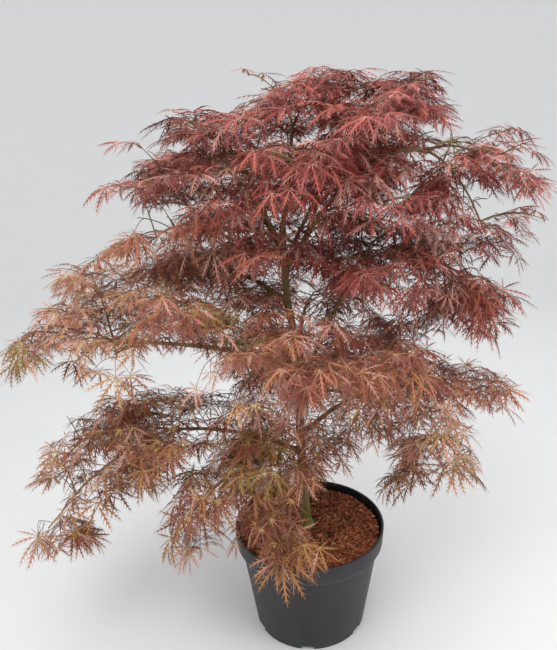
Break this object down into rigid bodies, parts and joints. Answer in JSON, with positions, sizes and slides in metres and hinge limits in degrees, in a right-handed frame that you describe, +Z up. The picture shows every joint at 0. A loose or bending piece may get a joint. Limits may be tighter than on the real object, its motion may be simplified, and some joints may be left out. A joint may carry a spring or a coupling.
{
  "type": "potted japanese maple",
  "caption": "Young laceleaf Japanese maple with drooping tiers of finely cut red and bronze leaves, standing in a round black nursery pot of bark compost.",
  "frame": {"origin": "middle of the pot's flat underside, on the ground", "axes": "+Z up, +X to the right of the plant and +Y to its back as the picture shows it"},
  "size_m": [0.7442, 0.5075, 0.8404],
  "materials": {
    "pot": "satin black moulded plastic",
    "soil": "coarse damp bark compost",
    "bark": "fine brown bark, greener at the foot and near the forks",
    "green_bark": "smooth olive green young bark",
    "leaves_bronze": "matt bronze and olive leaves of the lowest tier",
    "leaves_copper": "matt copper brown leaves",
    "leaves_russet": "matt russet leaves of the middle tiers",
    "leaves_burgundy": "matt burgundy leaves of the upper tiers",
    "leaves_rose": "matt dusty rose leaves of the crest"
  },
  "bodies": {
    "root": {"pot": "pot", "soil": "soil", "trunk": "bark", "leader_centre": "green_bark", "leader_left": "green_bark", "bough_upper_left": "green_bark", "green_limb": "green_bark", "bough_upper_right": "green_bark", "bough_top_right": "green_bark", "bough_back_left": "green_bark", "bough_back_right": "green_bark", "bough_left_long": "green_bark", "bough_left_mid": "green_bark", "bough_left_front": "green_bark", "bough_right_rise": "green_bark", "bough_right_front": "green_bark", "bough_back_mid": "green_bark", "bough_low_right": "green_bark", "bough_low_left": "green_bark", "bough_low_front": "green_bark", "bough_low_back": "green_bark", "foliage_crest_right": "leaves_rose", "foliage_crest_left": "leaves_rose", "foliage_left_high": "leaves_rose", "foliage_left_front": "leaves_rose", "foliage_left_upper": "leaves_burgundy", "foliage_left_under": "leaves_burgundy", "foliage_front_high": "leaves_rose", "foliage_front_right": "leaves_burgundy", "foliage_far_right_front": "leaves_burgundy", "foliage_far_right": "leaves_rose", "foliage_far_right_back": "leaves_rose", "foliage_top_right": "leaves_rose", "foliage_right_high": "leaves_rose", "foliage_back_left_high": "leaves_burgundy", "foliage_back_left_out": "leaves_burgundy", "foliage_back_right_high": "leaves_burgundy", "foliage_back_right_out": "leaves_burgundy", "foliage_left_tip": "leaves_russet", "foliage_left_tip_back": "leaves_russet", "foliage_left_tip_front": "leaves_russet", "foliage_left_mid": "leaves_russet", "foliage_back_left_mid": "leaves_russet", "foliage_left_front_mid": "leaves_russet", "foliage_front_mid": "leaves_russet", "foliage_right_inner": "leaves_russet", "foliage_right_back_mid": "leaves_burgundy", "foliage_right_mid": "leaves_russet", "foliage_front_right_mid": "leaves_russet", "foliage_right_front_low": "leaves_russet", "foliage_back_mid": "leaves_russet", "foliage_lower_right": "leaves_copper", "foliage_lower_right_front": "leaves_copper", "foliage_lower_left": "leaves_bronze", "foliage_lower_left_front": "leaves_bronze", "foliage_lowest_left": "leaves_bronze", "foliage_front_hanging": "leaves_bronze", "foliage_front_left_low": "leaves_bronze", "foliage_lower_back": "leaves_bronze", "foliage_lower_back_right": "leaves_copper"}
  },
  "joints": []
}
